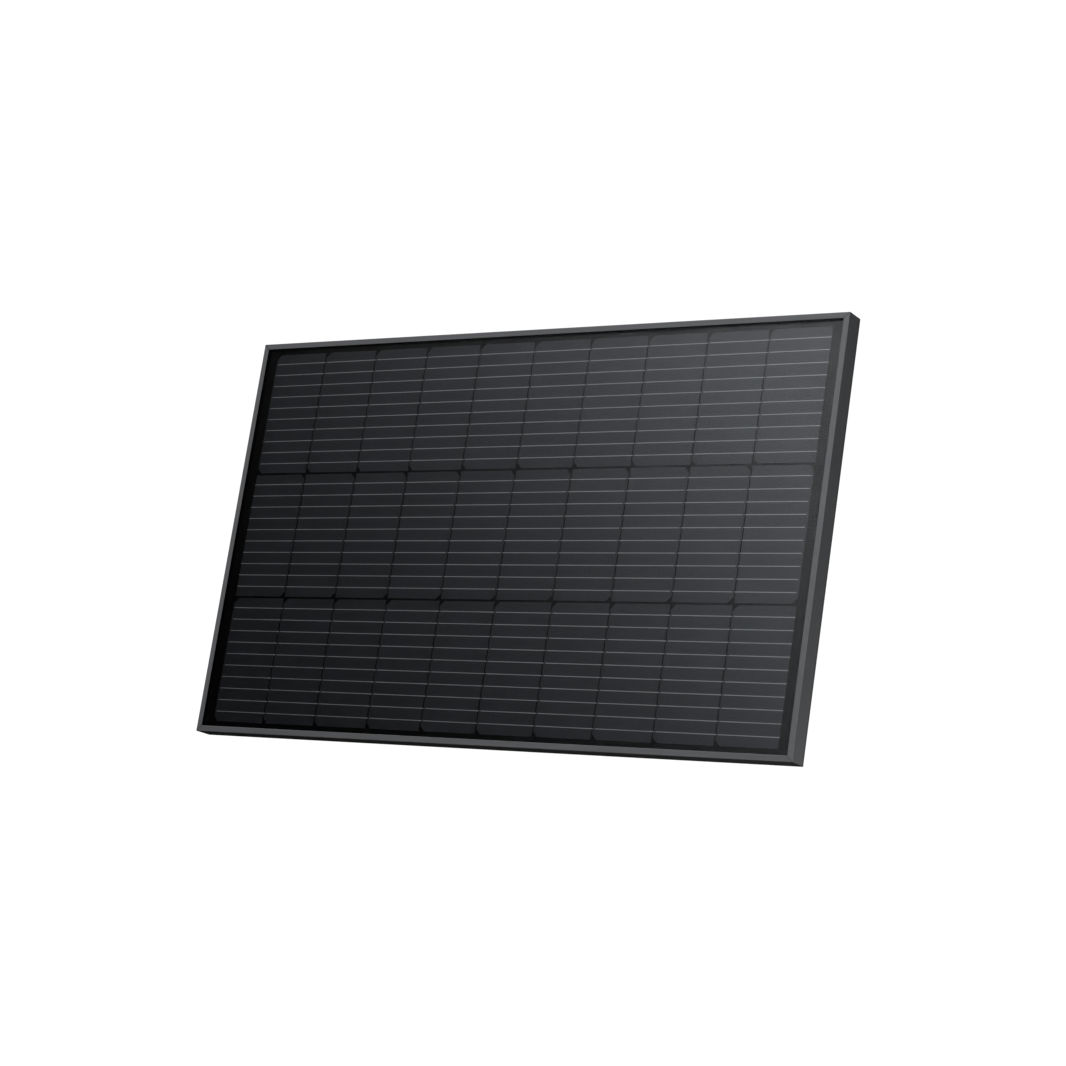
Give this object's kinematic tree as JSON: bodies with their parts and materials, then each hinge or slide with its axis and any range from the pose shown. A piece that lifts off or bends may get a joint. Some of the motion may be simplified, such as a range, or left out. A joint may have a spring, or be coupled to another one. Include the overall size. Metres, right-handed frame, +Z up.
{
  "type": "solar panel",
  "caption": "Flat rectangular photovoltaic panel: dark cells under glass in a shallow mitred aluminium frame, junction box with hinged lid behind.",
  "frame": {"origin": "centre of the footprint, on the lower edge of the upright panel, half way through its depth", "axes": "+X along the long side, to the right seen from the glass; +Y from the glass to the back; +Z up along the short side"},
  "size_m": [0.976, 0.03, 0.585],
  "materials": {
    "frame": "black anodised, satin",
    "bare_aluminium": "mill",
    "sealant": "cured silicone",
    "front_glass": "low-iron, slightly matt",
    "encapsulant": "clear film",
    "cell": "anti-reflection coated silicon",
    "ribbon": "tinned copper",
    "black_film": "matt",
    "backsheet": "matt film",
    "label": "silver foil, blank",
    "jbox_plastic": "fine texture",
    "gasket": "matt",
    "steel": "stainless",
    "terminal": "tinned copper alloy",
    "diode": "moulded epoxy"
  },
  "bodies": {
    "panel": {"frame_rail_top": "frame", "frame_rail_bottom": "frame", "frame_rail_left": "frame", "frame_rail_right": "frame", "corner_keys": "bare_aluminium", "edge_sealant": "sealant", "front_glass": "front_glass", "front_encapsulant": "encapsulant", "cell_r1_c01": "cell", "cell_r1_c02": "cell", "cell_r1_c03": "cell", "cell_r1_c04": "cell", "cell_r1_c05": "cell", "cell_r1_c06": "cell", "cell_r1_c07": "cell", "cell_r1_c08": "cell", "cell_r1_c09": "cell", "cell_r1_c10": "cell", "cell_r2_c01": "cell", "cell_r2_c02": "cell", "cell_r2_c03": "cell", "cell_r2_c04": "cell", "cell_r2_c05": "cell", "cell_r2_c06": "cell", "cell_r2_c07": "cell", "cell_r2_c08": "cell", "cell_r2_c09": "cell", "cell_r2_c10": "cell", "cell_r3_c01": "cell", "cell_r3_c02": "cell", "cell_r3_c03": "cell", "cell_r3_c04": "cell", "cell_r3_c05": "cell", "cell_r3_c06": "cell", "cell_r3_c07": "cell", "cell_r3_c08": "cell", "cell_r3_c09": "cell", "cell_r3_c10": "cell", "string_ribbons_row_1": "ribbon", "string_ribbons_row_2": "ribbon", "string_ribbons_row_3": "ribbon", "bus_ribbons": "ribbon", "bus_mask": "black_film", "output_leads": "ribbon", "lead_insulation": "black_film", "rear_encapsulant": "encapsulant", "backsheet": "backsheet", "rating_label": "label", "jbox_adhesive": "sealant", "jbox_base": "jbox_plastic", "lid_gasket": "gasket", "hinge_pin": "steel", "terminal_plates": "terminal", "terminal_screws": "steel", "bypass_diodes": "diode", "gland_bodies": "jbox_plastic", "gland_nuts": "jbox_plastic", "gland_seals": "gasket"},
    "lid": {"jbox_lid": "jbox_plastic"}
  },
  "joints": [
    {"name": "jbox_lid_hinge", "type": "hinge", "parent": "panel", "child": "lid", "pos_m": [-0.396, 0.0044, 0.3381], "axis": [1, 0, 0], "range_deg": [0, 100]}
  ]
}
